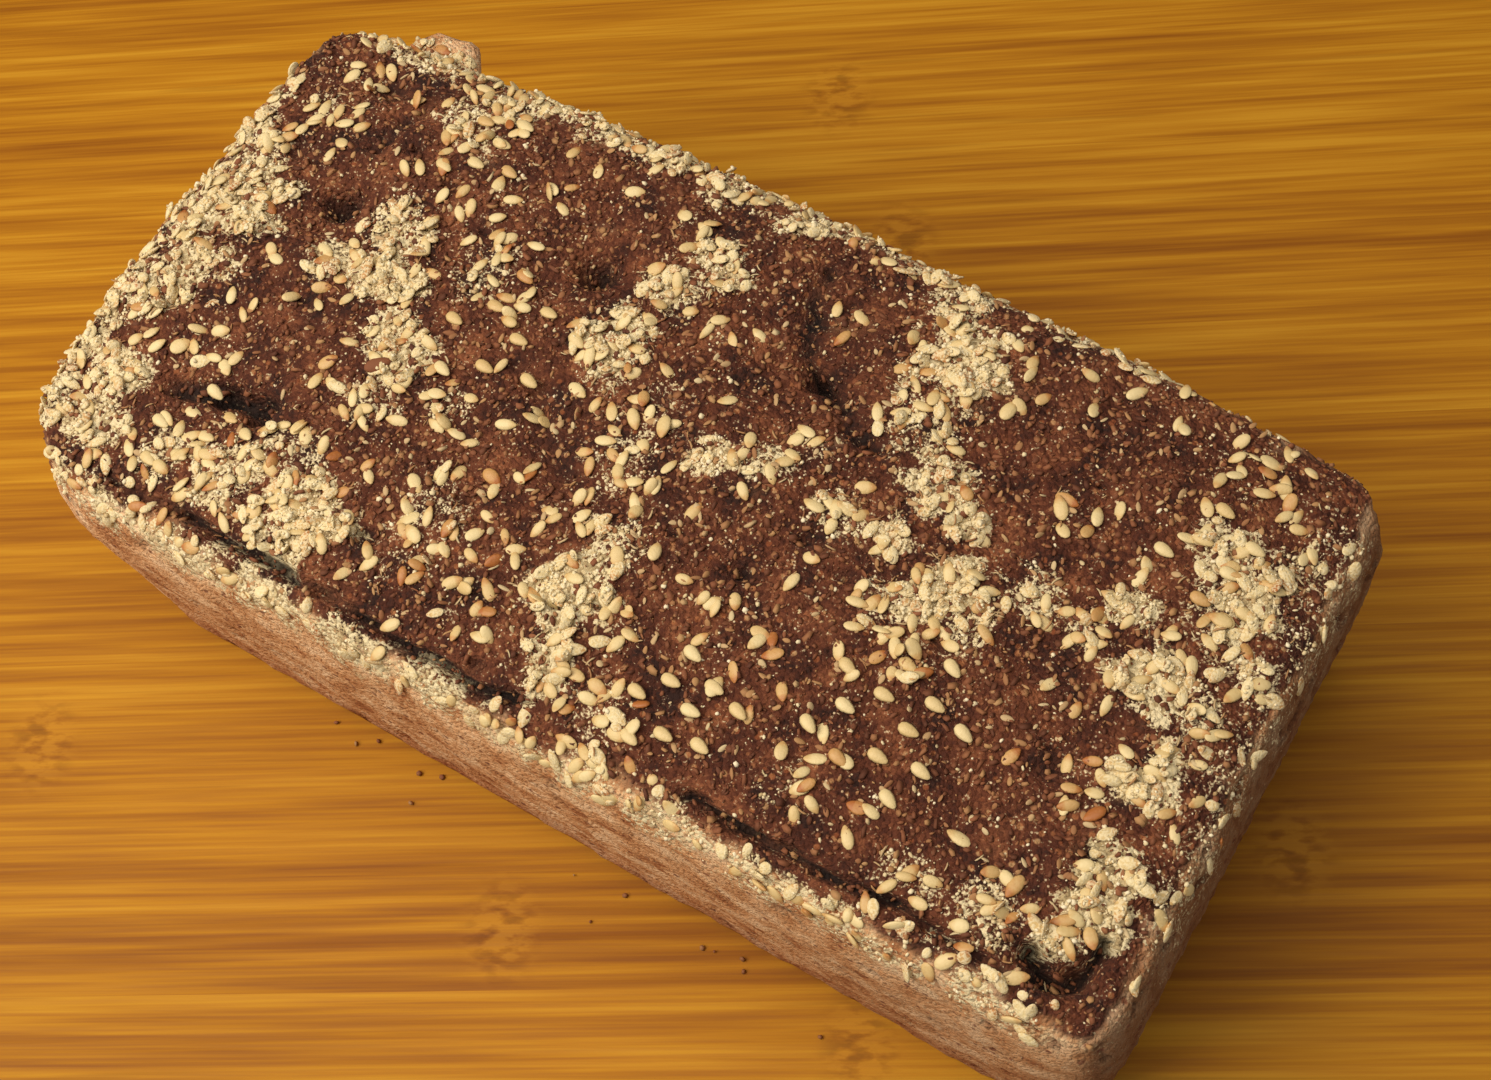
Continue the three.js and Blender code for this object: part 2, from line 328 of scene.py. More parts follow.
def lumps(points, size, seed=0):
    """Smooth lumps and hollows of about that size, from -1 to 1, at each point."""
    scaled = points / size + (seed * 7.31, seed * 3.17, seed * 5.53)
    cell = np.floor(scaled).astype(int)
    inside = scaled - cell
    ease = inside ** 3 * (inside * (inside * 6 - 15) + 10)
    total = np.zeros(len(points))
    for corner in np.ndindex(2, 2, 2):
        at = cell + corner
        slot = shuffle[(shuffle[(shuffle[at[:, 0] % 256] + at[:, 1]) % 256] + at[:, 2]) % 256]
        pull = (directions[slot] * (inside - corner)).sum(1)
        total += pull * np.where(corner, ease, 1 - ease).prod(1)
    return total * 1.6


def rise(value, low, high):
    """Goes smoothly from 0 at low to 1 at high."""
    share = np.clip((value - low) / (high - low), 0, 1)
    return share * share * (3 - 2 * share)


def roughness(points, layers):
    """Lumps of several sizes added up: each layer is their height, their size and a seed."""
    return sum(high * lumps(points, size, seed) for high, size, seed in layers)


def distance_to_path(points, path):
    """How far each point is from a path of straight stretches, in plan."""
    nearest = np.full(len(points), np.inf)
    for start, end in zip(path, path[1:]):
        start, way = np.array(start), np.subtract(end, start)
        share = np.clip((points[:, :2] - start) @ way / (way @ way), 0, 1)
        nearest = np.minimum(nearest, np.linalg.norm(points[:, :2] - start - share[:, None] * way, axis=1))
    return nearest


def read(mesh, what, name="co"):
    """An array of a mesh's positions or normals."""
    values = np.zeros(len(getattr(mesh, what)) * 3, np.float32)
    getattr(mesh, what).foreach_get(name, values)
    return values.reshape(-1, 3).astype(float)


def note(mesh, name, values):
    """Keeps one number for each vertex, for the material to read."""
    mesh.attributes.new(name, "FLOAT", "POINT").data.foreach_set("value", values.astype(np.float32))


def topping_at(points, edges):
    """How thickly crushed seed and flour lie at each place in plan, up to 1, with ragged edges."""
    flat = points * (1, 1, 0)
    ragged = roughness(flat, [(0.42, 6, 11), (0.42, 2.6, 12), (0.18, 1.2, 23)])
    most = np.zeros(len(points))
    for x, y, reach, _, amount in TOPPING:
        inside = 1 - np.hypot(flat[:, 0] - x, flat[:, 1] - y) / (reach * 1.12)
        most = np.maximum(most, amount * rise(inside + ragged * rise(inside, -0.3, 0.1), 0.12, 0.42))
    for first, last, amount in edges:
        past = np.maximum(np.array(first) - flat[:, :2], flat[:, :2] - np.array(last)).max(1)
        most = np.maximum(most, amount * rise(-past / 6 + 1.2 * ragged, -0.05, 0.4))
    return most


loaf_place = Matrix.Translation(LOAF_MIDDLE) @ Matrix.Rotation(LOAF_TURN, 4, "Z")
place_only(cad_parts["loaf"])
bpy.ops.object.duplicate()
plain_loaf = bpy.context.object
plain_loaf.parent = None
plain_loaf.data.transform(loaf_place.inverted())
bpy.ops.object.mode_set(mode="EDIT")
bpy.ops.mesh.select_all(action="SELECT")
bpy.ops.mesh.remove_doubles(threshold=0.01 * MM)
bpy.ops.object.mode_set(mode="OBJECT")
plain = read(plain_loaf.data, "vertices")
plain_low, plain_high = Vector(plain.min(0)), Vector(plain.max(0))
plain_low.z = 0

bpy.ops.object.select_all(action="DESELECT")
bpy.ops.mesh.primitive_cube_add(size=1, location=(plain_low + plain_high) / 2, scale=plain_high - plain_low)
loaf = bpy.context.object
loaf.name = "wholemeal_loaf"
bpy.ops.object.transform_apply(location=True, rotation=True, scale=True)
bpy.ops.object.mode_set(mode="EDIT")
for axis, cells in enumerate(LOAF_CELLS):
    pick("edges", lambda e: runs_along(e, axis))
    bpy.ops.mesh.subdivide(number_cuts=cells - 1)
pick("faces", lambda f: f.normal.z < -0.9)
bpy.ops.mesh.delete(type="FACE")
pick("edges", lambda e: e.is_boundary)
bpy.ops.mesh.edge_face_add()
bpy.ops.object.mode_set(mode="OBJECT")
mesh = loaf.data
skin = read(mesh, "vertices")
skin[:, 2] = plain_high.z * (1 - (1 - skin[:, 2] / plain_high.z) ** 1.5)  # rows crowd towards the top
mesh.vertices.foreach_set("co", skin.ravel())
wrap = loaf.modifiers.new("wrap", "SHRINKWRAP")
wrap.target = plain_loaf
bpy.ops.object.modifier_apply(modifier="wrap")
bpy.data.objects.remove(plain_loaf)

# Soften the plain loaf's facets everywhere but at the base, which stays flat on the board
skin = read(mesh, "vertices") / MM
free = loaf.vertex_groups.new(name="free")
for i in np.nonzero(skin[:, 2] > 1.2)[0]:
    free.add([int(i)], 1.0, "REPLACE")
soften = loaf.modifiers.new("soften", "SMOOTH")
soften.factor = 0.5
soften.iterations = 30
soften.vertex_group = "free"
bpy.ops.object.modifier_apply(modifier="soften")
loaf.vertex_groups.clear()

skin = read(mesh, "vertices") / MM
out = read(mesh, "vertex_normals", "vector")
height = skin[:, 2]
top = rise(out[:, 2], 0.25, 0.75) * rise(height, 40, 52)
border = out[:, 2] + roughness(skin, [(0.22, 8, 3), (0.16, 3, 4)])
crust = rise(border, 0.55, 0.85) * rise(height, 50, 54)
wall = 1 - crust

# The crust's own roughness, then its holes and cracks. No seed is laid where one of the deep ones gapes.
push = roughness(skin, CRUST_LUMPS) * crust + SEED_GAP
pinholes = np.stack([rng.uniform(-90, 88, PINHOLES), rng.uniform(-41, 44, PINHOLES),
                     rng.uniform(0.5, 1.3, PINHOLES), rng.uniform(0.8, 2.0, PINHOLES)], 1)
# How deep each vertex lies in a hole or crack, up to 1. The crust paints this as shade, near black at the
# bottom.
hollow_depth_and_shade = np.zeros(len(skin))
gaping = np.zeros(len(skin), bool)
for x, y, radius, depth in [*HOLES, *pinholes]:
    wobble = 1 + 0.35 * lumps(skin, radius * 1.5, 7)
    distance = np.hypot(skin[:, 0] - x, skin[:, 1] - y) / (radius * wobble)
    gaping |= (depth > DEEP_HOLE) & (distance * radius < radius + 0.4)
    here = (1 - rise(distance, 0.35, 1.15)) * top
    push -= depth * here
    hollow_depth_and_shade = np.maximum(hollow_depth_and_shade, here * min(1, depth / 3.5))
for path, width, depth in CRACKS:
    wander = skin + np.stack([lumps(skin, 3, 8), lumps(skin, 3, 9), 0 * height], 1) * 0.8
    distance = distance_to_path(wander, path)
    clear = 1.1 if depth > BROKEN_UP else 0.5
    gaping |= (depth > DEEP_CRACK) & (distance < 0.6 * width + clear)
    here = (1 - rise(distance, 0.5 * width, width)) * rise(out[:, 2], 0.1, 0.4)
    if depth < BROKEN_UP:
        here *= np.clip(0.95 + 0.7 * lumps(skin, 5, 10), 0, 1)
    push -= depth * here
    hollow_depth_and_shade = np.maximum(hollow_depth_and_shade, here * min(1, depth / 2.5))

# The tin's walls: flat, with pits, which the crust also paints dark as shade
pit_depth_and_shade = rise(lumps(skin, 3.2, 13) + 0.6 * lumps(skin, 1.6, 14), 0.52, 0.76)
push += wall * (roughness(skin, WALL_LUMPS) - pit_depth_and_shade)
heaped_side = rise(np.maximum(-out[:, 0], out[:, 1]), 0.1, 0.5) * rise(0.9 - out[:, 2], 0, 0.5)
push -= SHOULDER_ROOM * heaped_side * rise(height, 45, 55)
tongue = rise(TONGUE_HALF - np.abs(skin[:, 0] - TONGUE_MIDDLE), 0, 3) * rise(out[:, 1], 0.2, 0.6)
tongue *= rise(height, 51, 54) * (1 - rise(height, 55.5, 58))
push += tongue * (TONGUE_REACH + 1.5 * lumps(skin, 3, 29))

# The caked topping stands a little proud, and nothing bulges at the very base
heap = topping_at(skin, HEAPED_EDGES + DUSTED_EDGES) * rise(height, 50, 56) * (1 - tongue)
push += heap * (0.25 + roughness(skin, [(0.35, 1.8, 19), (0.2, 1.0, 26)]))
push *= rise(height, 0.0, 1.5)
shaped = skin + out * push[:, None]
mesh.vertices.foreach_set("co", (shaped * MM).ravel())

# Flour clings to the walls just under the top, most on the near side. Painted shade darkens the right end,
# and the near side towards the right.
smear = lumps(skin, 9, 27) + 0.7 * lumps(skin * (1, 1, 0.8), 3.5, 28)
near_side = rise(-out[:, 1], 0.3, 0.9)
most = 0.32 + 0.38 * near_side * (1 - 0.6 * rise(skin[:, 0], 0, 80))
dust = rise(height + 7 * smear, 47, 63) * wall * most
right_painted_shade = rise(out[:, 0], 0.3, 0.9) + 0.35 * rise(skin[:, 0], 0, 90) * near_side
note(mesh, "wall", wall)
note(mesh, "hollow_depth_and_shade", hollow_depth_and_shade)
note(mesh, "flour", heap)
note(mesh, "dust", dust)
note(mesh, "pit_depth_and_shade", pit_depth_and_shade * wall)
note(mesh, "right_painted_shade", np.clip(right_painted_shade, 0, 1) * wall)
mesh.update()
bpy.ops.object.shade_smooth()


def make_crust():
    """Dry, matt wholemeal crust: dark red-brown with paler bran, and pale and mealy where the tin was."""
    material, tree, shader = new_material("wholemeal_crust")
    place = millimetres(tree, -LOAF_TURN)

    def spots(size):
        """Cells of about that size, in mm."""
        return add(tree, "TexVoronoi", {"Vector": place, "Scale": 1 / size})

    def cloud(size, detail):
        """Soft patches of about that size, in mm."""
        return add(tree, "TexNoise", {"Vector": place, "Scale": 1 / size, "Detail": detail}).outputs["Fac"]

    def kept(name):
        """A number that the mesh keeps for each vertex."""
        return add(tree, "Attribute", attribute_name=name).outputs["Fac"]

    def chances(voronoi):
        """Three random numbers for each cell."""
        return add(tree, "SeparateColor", {"Color": voronoi.outputs["Color"]}).outputs

    grain, bran, meal_spots, wall_spots = spots(0.75), spots(1.5), spots(0.55), spots(1.5)
    grain_chance, bran_chance, meal_chance = chances(grain)[1], chances(bran)[0], chances(meal_spots)[2]
    mottle, fine = cloud(6, 6), cloud(0.45, 3)
    tone = sum_up(tree, "MULTIPLY_ADD", grain_chance, 0.18, mottle)
    tone = sum_up(tree, "MULTIPLY_ADD", fine, 0.30, tone)
    brown = ramp(tree, tone, [(0.52, "280E06"), (0.68, "4A200F"), (0.82, "63331D"), (0.98, "8A5233")])
    fleck = sum_up(tree, "MULTIPLY", fade(tree, bran_chance, 0.70, 0.74),
                   fade(tree, bran.outputs["Distance"], 0.40, 0.22))
    brown = blend(tree, sum_up(tree, "MULTIPLY", fleck, 0.75), brown,
                  ramp(tree, grain_chance, [(0.2, "8A4A28"), (0.6, "AC7046"), (0.9, "C49A6C")]))
    grit = sum_up(tree, "MULTIPLY", fade(tree, meal_chance, 0.90, 0.93),
                  fade(tree, meal_spots.outputs["Distance"], 0.40, 0.20))
    brown = blend(tree, grit, brown, ramp(tree, grain_chance, [(0.1, "B08A68"), (0.9, "E0CCA8")]))

    wall_chance = chances(wall_spots)[0]
    smear, wall_fine = cloud(6.5, 5), cloud(0.8, 3)
    meal = sum_up(tree, "MULTIPLY_ADD", wall_chance, 0.08, smear)
    meal = sum_up(tree, "MULTIPLY_ADD", wall_fine, 0.26, meal)
    pale = ramp(tree, meal, [(0.49, "A4663C"), (0.58, "C88E5E"), (0.70, "DEAC7E"), (0.82, "EEC8A0")])
    rim = fade(tree, add(tree, "SeparateXYZ", {"Vector": place}).outputs["Z"], 34.0, 18.5)
    pale = blend(tree, sum_up(tree, "MULTIPLY", rim, 0.5), pale, paint("9A5230"))
    # Painted shade: the right end wall, and the near wall towards the right, darkened
    pale = blend(tree, sum_up(tree, "MULTIPLY", kept("right_painted_shade"), 0.72), pale, paint("643818"))
    # Painted shade: the wall's pits darkened
    pale = blend(tree, sum_up(tree, "MULTIPLY", kept("pit_depth_and_shade"), 0.85), pale, paint("5E2C18"))
    mark = sum_up(tree, "MULTIPLY", fade(tree, wall_chance, 0.82, 0.85),
                  fade(tree, wall_spots.outputs["Distance"], 0.45, 0.25))
    pale = blend(tree, sum_up(tree, "MULTIPLY", mark, 0.75), pale, paint("6E2F1C"))
    caked = sum_up(tree, "MULTIPLY_ADD", sum_up(tree, "SUBTRACT", wall_fine, 0.5), 1.4, kept("dust"))
    pale = blend(tree, fade(tree, caked, 0.30, 0.75), pale, paint("D8BC92"))
    colour = blend(tree, kept("wall"), brown, pale)

    loose = sum_up(tree, "MULTIPLY_ADD", sum_up(tree, "SUBTRACT", fine, 0.5), 1.5, kept("flour"))
    loose = sum_up(tree, "MULTIPLY_ADD", sum_up(tree, "SUBTRACT", grain_chance, 0.5), 0.4, loose)
    flour = ramp(tree, sum_up(tree, "MULTIPLY_ADD", fine, 0.6, grain_chance),
                 [(0.2, "8C7450"), (0.7, "C4AF84"), (1.0, "E6D6AE")])
    colour = blend(tree, fade(tree, loose, 0.26, 0.60), colour, flour)
    # Painted shade: near black in the holes and cracks, by their depth
    colour = blend(tree, sum_up(tree, "MULTIPLY", kept("hollow_depth_and_shade"), 0.9), colour, paint("0C0503"))
    tree.links.new(colour, shader.inputs["Base Color"])
    shader.inputs["Roughness"].default_value = 0.85
    shader.inputs["Specular IOR Level"].default_value = 0.4
    rough = sum_up(tree, "MULTIPLY_ADD", fine, 0.9, sum_up(tree, "MULTIPLY", grain.outputs["Distance"], -0.8))
    relief = {"Height": rough, "Strength": 1.0, "Distance": 0.5 * MM}
    tree.links.new(add(tree, "Bump", relief).outputs[0], shader.inputs["Normal"])
    return material


loaf.data.materials.append(make_crust())
skin_faces = np.array([p.vertices for p in mesh.polygons if len(p.vertices) == 4])
loaf_tree = BVHTree.FromPolygons(shaped.tolist(), skin_faces.tolist())
loaf.data.transform(loaf_place)
finish_piece(loaf)
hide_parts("loaf")


# Sesame seeds. Hulled seeds, flat drops a little over 3 mm long, rolled onto the dough before it was
# baked: cream, some toasted. Many are broken, and stuck together in heaps with crushed seed and flour.
DROP_HEIGHT = 90  # mm above the board
TOP_LEVEL = 50  # mm above the board: whatever lands lower has missed the top
FAR_EDGE = 53  # mm: beyond it is only the tongue of dough
SEED_LENGTH = 3.2
SEED_WIDTH = 1.72
SEED_THICKNESS = 0.66
# How wide the drop is against a plain oval, ring by ring from its tip to its round end
SEED_RINGS = (0.70, 0.88, 1.00, 1.07, 1.12, 1.10)
TIP = (0.2, 1.0)  # mm past the middle, between which the skin darkens towards the tip
LIE_DEPTH = 0.25  # mm that a seed's middle stands above the crust
PILE_STEP = 0.36  # mm more for each seed under it
TOASTED_SHARE = 0.06
STRAY_SEEDS = 230  # that lie outside the patches
HEAP_TRIES = 9000


def make_sesame(name, dusty):
    """A hulled sesame seed. Waxy cream skin, browner where it was toasted, dull and mealy where dusty."""
    material, tree, shader = new_material(name)
    place = millimetres(tree)
    tone = add(tree, "Attribute", attribute_name="tone").outputs["Fac"]
    tip = add(tree, "Attribute", attribute_name="tip").outputs["Fac"]
    speck = add(tree, "TexNoise", {"Vector": place, "Scale": 2.6, "Detail": 3}).outputs["Fac"]
    mixed = sum_up(tree, "MULTIPLY_ADD", sum_up(tree, "SUBTRACT", speck, 0.5), 0.25, tone)
    mixed = sum_up(tree, "MULTIPLY_ADD", tip, 0.35, mixed)
    skin = ramp(tree, mixed, [(0.05, "E0CC9A"), (0.40, "D2B67E"), (0.70, "C3945A"), (1.0, "A86632")])
    if dusty:
        dust = fade(tree, speck, 0.38, 0.58)
        skin = blend(tree, sum_up(tree, "MULTIPLY", dust, 0.75), skin, paint("EADCB6"))
    tree.links.new(skin, shader.inputs["Base Color"])
    shader.inputs["Roughness"].default_value = 0.8 if dusty else 0.5
    relief = {"Height": speck, "Strength": 0.6, "Distance": (0.35 if dusty else 0.1) * MM}
    tree.links.new(add(tree, "Bump", relief).outputs[0], shader.inputs["Normal"])
    return material


def take_shape(piece):
    """Reads a pattern piece as its corners, in mm, and its triangles, then removes it."""
    place_only(piece)
    bpy.ops.object.mode_set(mode="EDIT")
    bpy.ops.mesh.select_all(action="SELECT")
    bpy.ops.mesh.quads_convert_to_tris()
    bpy.ops.object.mode_set(mode="OBJECT")
    corners = read(piece.data, "vertices") / MM
    faces = np.array([tuple(p.vertices) for p in piece.data.polygons])
    bpy.data.objects.remove(piece)
    return corners, faces


def spread_out(shape, places):
    """Copies of the shape, one at each place: all their corners, in mm, and all their triangles."""
    corners, faces = shape
    places = np.array(places)
    points = np.einsum("nij,vj->nvi", places[:, :3, :3], corners) + places[:, None, :3, 3]
    joined = faces[None] + np.arange(len(places))[:, None, None] * len(corners)
    return points.reshape(-1, 3), joined.reshape(-1, 3)


def strew(name, shape, places, tones, material):
    """Makes one piece with a copy of the shape at each place, a 4 x 4 matrix in the loaf's own mm.

    Each vertex keeps its copy's tone, and how near it is to a seed's tip."""
    points, joined = spread_out(shape, places)
    turned = np.array(loaf_place)
    made = bpy.data.meshes.new(name)
    made.from_pydata(points * MM @ turned[:3, :3].T + turned[:3, 3], [], joined)
    note(made, "tone", np.repeat(np.array(tones, float), len(shape[0])))
    tip = rise(shape[0][:, 0], *TIP) * shape[0][:, 0].max() / (SEED_LENGTH / 2)
    note(made, "tip", np.tile(tip, len(places)))
    piece = bpy.data.objects.new(name, made)
    bpy.context.scene.collection.objects.link(piece)
    place_only(piece)
    bpy.ops.object.shade_smooth()
    made.materials.append(material)
    finish_piece(piece)


def settle(point, normal, heading, lean, lift, size):
    """A place on the crust: lying on the surface, turned by heading, leaning, lifted and sized."""
    up = Vector(normal)
    turn = up.to_track_quat("Z", "Y") @ Quaternion((0, 0, 1), heading)
    turn = turn @ Quaternion((1, 0, 0), lean[0]) @ Quaternion((0, 1, 0), lean[1])
    sizes = Matrix.Diagonal((*size, 1))
    return np.array(Matrix.Translation(Vector(point) + up * lift) @ turn.to_matrix().to_4x4() @ sizes)


def drop_on(ground, x, y):
    """Where something dropped over this place lands: point, normal and face, or None past the top's edge."""
    point, normal, face, _ = ground.ray_cast(Vector((x, y, DROP_HEIGHT)), Vector((0, 0, -1)))
    past_edge = point is None or point.z < TOP_LEVEL or point.y > FAR_EDGE
    return None if past_edge else (point, normal, face)


bpy.ops.object.select_all(action="DESELECT")
bpy.ops.mesh.primitive_uv_sphere_add(segments=10, ring_count=7, radius=0.5 * MM, rotation=(0, math.pi / 2, 0))
pattern = bpy.context.object
bpy.ops.object.transform_apply(location=True, rotation=True, scale=True)
bpy.ops.object.mode_set(mode="EDIT")
bpy.ops.mesh.select_all(action="SELECT")
bpy.ops.transform.resize(value=(SEED_LENGTH, SEED_WIDTH, SEED_THICKNESS))
for ring_number, slim in enumerate(SEED_RINGS, 1):
    ring = math.cos(math.pi * ring_number / 7) * SEED_LENGTH * MM / 2
    pick("verts", lambda v: abs(v.co.x - ring) < 0.05 * MM)
    bpy.ops.transform.resize(value=(1, slim, slim ** 0.5), center_override=(ring, 0, 0))
bpy.ops.object.mode_set(mode="OBJECT")
seed_shape = take_shape(pattern)

seeds = {"plain": [], "floury": []}
tones = {"plain": [], "floury": []}
frame_seeds = [name for name in sorted(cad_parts) if name.startswith("sesame_seed")]
frame_middles = [loaf_place.inverted() @ ((low + high) / 2) / MM for low, high in map(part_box, frame_seeds)]
placed = [(middle.x, middle.y) for middle in frame_middles]


def sow(spot, kind, pile=1, broken=0.0, sunk=0.0):
    """Lays a seed at a landing spot, leaning on those there, unless more than the pile lie there already."""
    point, normal, face = spot
    under = int((np.hypot(*(np.array(placed) - point[:2]).T) < 1.5).sum())
    if under > pile or gaping[skin_faces[face]].any():
        return
    lean = rng.normal(0, 0.14 + 0.16 * under, 2)
    size = rng.normal(1, 0.07) * np.array([rng.normal(1, 0.06), rng.normal(1, 0.08), rng.normal(1, 0.12)])
    if rng.random() < broken:
        size[0] *= rng.uniform(0.4, 0.75)
    lift = LIE_DEPTH + PILE_STEP * under - sunk
    seeds[kind].append(settle(point, normal, rng.uniform(0, math.tau), lean, lift, size))
    toast = rng.beta(1.4, 4.0)
    tones[kind].append(min(1, toast + (0.5 if rng.random() < TOASTED_SHARE else 0)))
    placed.append(tuple(point[:2]))


for x, y, reach, count, _ in TOPPING:
    for _ in range(count):
        distance, angle = reach * math.sqrt(rng.random()), rng.uniform(0, math.tau)
        spot = drop_on(loaf_tree, x + distance * math.cos(angle), y + distance * math.sin(angle))
        if spot:
            sow(spot, "plain")
for _ in range(STRAY_SEEDS):
    spot = drop_on(loaf_tree, rng.uniform(-90, 88), rng.uniform(-42, 44))
    if spot:
        sow(spot, "plain")

# Heaps: floury seeds wherever the topping lies thickly
heap_tries = np.stack([rng.uniform(-97, 94, HEAP_TRIES), rng.uniform(-47, 51, HEAP_TRIES),
                       np.zeros(HEAP_TRIES)], 1)
for (x, y, _), share in zip(heap_tries, topping_at(heap_tries, HEAPED_EDGES)):
    if rng.random() < 0.55 * share ** 1.6:
        spot = drop_on(loaf_tree, x, y)
        if spot:
            sow(spot, "floury", 2, 0.35)

# Along the shoulders the seeds lie thick, down to where the walls start: side, start and end of the
# stretch, number of seeds, and the share that is floury
SHOULDERS = [
    ("far", -92, 12, 230, 0.45), ("far", 12, 62, 50, 0.7), ("far", 62, 86, 8, 0.3),
    ("left", -40, 34, 150, 0.75), ("near", -90, -10, 75, 0.85), ("near", -10, 88, 120, 0.5),
    ("right", -38, 36, 36, 0.85),
]
for side, start, end, count, floury in SHOULDERS:
    for _ in range(count):
        at = rng.uniform(start, end)
        bend = rng.uniform(0.1, 1.35)
        off, level = 43 + 7 * math.cos(bend), 56 + 7 * math.sin(bend)
        aims = {"far": (at, off, level), "near": (at, 2 - off, level), "left": (-48.5 - off, at, level),
                "right": (44 + off, at, level)}
        point, normal, face, _ = loaf_tree.find_nearest(Vector(aims[side]))
        sow((point, normal, face), "floury" if rng.random() < floury else "plain", 1, 0.3, 0.2)

sesame = make_sesame("hulled_sesame", False)
floury_sesame = make_sesame("floury_sesame", True)
strew("sesame_seeds", seed_shape, seeds["plain"], tones["plain"], sesame)
strew("sesame_seeds_floury", seed_shape, seeds["floury"], tones["floury"], floury_sesame)

# The seeds of the frame, smoothed where they lie
bpy.ops.object.select_all(action="DESELECT")
for name in frame_seeds:
    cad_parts[name].select_set(True)
bpy.context.view_layer.objects.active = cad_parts[frame_seeds[0]]
bpy.ops.object.duplicate()
bpy.ops.object.join()
whole_seeds = bpy.context.object
whole_seeds.name = "sesame_seeds_whole"
bpy.ops.object.mode_set(mode="EDIT")
bpy.ops.mesh.select_all(action="SELECT")
bpy.ops.mesh.remove_doubles(threshold=0.01 * MM)
bpy.ops.object.mode_set(mode="OBJECT")
bpy.ops.object.shade_smooth()
whole_seeds.data.materials.clear()
whole_seeds.data.materials.append(sesame)
centres = np.array([loaf_place @ (middle * MM) for middle in frame_middles])
owner = np.linalg.norm(read(whole_seeds.data, "vertices")[:, None] - centres, axis=2).argmin(1)
note(whole_seeds.data, "tone", rng.beta(1.4, 4.0, len(centres))[owner])
for mark in list(whole_seeds.keys()):  # the marks of the frame's own nodes
    del whole_seeds[mark]
finish_piece(whole_seeds)
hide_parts(*frame_seeds)


# Crushed topping. Broken seed and flour that caked into granules, on the crust and on the heaped seeds.
GRANULE_SIZES = (0.26, 0.88)  # mm
GRANULE_TRIES = 90000
DEEPEST_GRANULE = 0.3  # how deep in a hole or crack granules still lie, where 1 is its bottom


def make_meal():
    """Caked flour and crushed sesame. Chalky and pale, some of it grey-gold."""
    material, tree, shader = new_material("caked_sesame_meal")
    tone = add(tree, "Attribute", attribute_name="tone").outputs["Fac"]
    speck = add(tree, "TexNoise", {"Vector": millimetres(tree), "Scale": 3.0, "Detail": 2}).outputs["Fac"]
    mixed = sum_up(tree, "MULTIPLY_ADD", sum_up(tree, "SUBTRACT", speck, 0.5), 0.4, tone)
    colour = ramp(tree, mixed, [(0.0, "F0E4C6"), (0.4, "E0D0A8"), (0.7, "C2AA7E"), (1.0, "9E7A52")])
    tree.links.new(colour, shader.inputs["Base Color"])
    shader.inputs["Roughness"].default_value = 0.95
    shader.inputs["Specular IOR Level"].default_value = 0.2
    return material


bpy.ops.object.select_all(action="DESELECT")
bpy.ops.mesh.primitive_uv_sphere_add(segments=5, ring_count=3, radius=0.5 * MM)
pattern = bpy.context.object
bpy.ops.object.mode_set(mode="EDIT")
bpy.ops.mesh.select_all(action="SELECT")
bpy.ops.transform.vertex_random(offset=0.12 * MM, seed=3)
bpy.ops.object.mode_set(mode="OBJECT")
granule_shape = take_shape(pattern)

heaped_points, heaped_faces = spread_out(seed_shape, seeds["floury"])
ground = BVHTree.FromPolygons(
    shaped.tolist() + heaped_points.tolist(),
    skin_faces.tolist() + (heaped_faces + len(shaped)).tolist(),
)
granules, granule_tones = [], []
tries = np.stack([rng.uniform(-98, 95, GRANULE_TRIES), rng.uniform(-48, 52, GRANULE_TRIES),
                  np.zeros(GRANULE_TRIES)], 1)
amount = topping_at(tries, HEAPED_EDGES + DUSTED_EDGES)
amount *= rise(lumps(tries, 3.0, 21) + 0.5 * lumps(tries, 1.4, 22), -0.55, 0.25)
amount = np.maximum(amount, 0.13 * rise(lumps(tries, 4, 30) + 0.5 * lumps(tries, 1.5, 31), 0.0, 0.6))
for (x, y, _), share in zip(tries, amount):
    if rng.random() > 0.9 * share ** 1.2:
        continue
    spot = drop_on(ground, x, y)
    if spot and (spot[2] >= len(skin_faces) or hollow_depth_and_shade[skin_faces[spot[2]]].max() < DEEPEST_GRANULE):
        low, high = GRANULE_SIZES
        size = (low + (high - low) * rng.random() ** 2) * rng.uniform(0.55, 1.4, 3)
        lean = rng.uniform(-1.5, 1.5, 2)
        lift = rng.uniform(0.0, 0.12)
        granules.append(settle(*spot[:2], rng.uniform(0, math.tau), lean, lift, size))
        granule_tones.append(np.clip(rng.normal(0.32, 0.2), 0, 1))
strew("crushed_topping", granule_shape, granules, granule_tones, make_meal())


# Bran, husk and crumbs of crust. Scraps under 2 mm, stuck all over the crust, with one stray linseed
# on it and a few crumbs fallen on the board.
SCRAP_TRIES = 12500
BIT_TRIES = 1400
CRUMBS = 14
LINSEED = (-47.4, -7.8)
SLIVER_RADIUS = 0.15 * MM
SLIVER_LENGTH = 1.8 * MM
# The sliver's rings: place from end to end, as a share of half its length, and how far it sags there
SLIVER_RINGS = ((-1, -0.3), (-0.5, -0.05), (0.5, -0.05), (1, -0.3))


def make_husk():
    """Scraps of bran, husk and crust: papery and dry, from straw to the crust's own brown."""
    material, tree, shader = new_material("bran_and_husk")
    tone = add(tree, "Attribute", attribute_name="tone").outputs["Fac"]
    colour = ramp(tree, tone, [(0.0, "CDBB93"), (0.3, "AE8558"), (0.65, "855032"), (1.0, "522A18")])
    tree.links.new(colour, shader.inputs["Base Color"])
    shader.inputs["Roughness"].default_value = 0.8
    return material


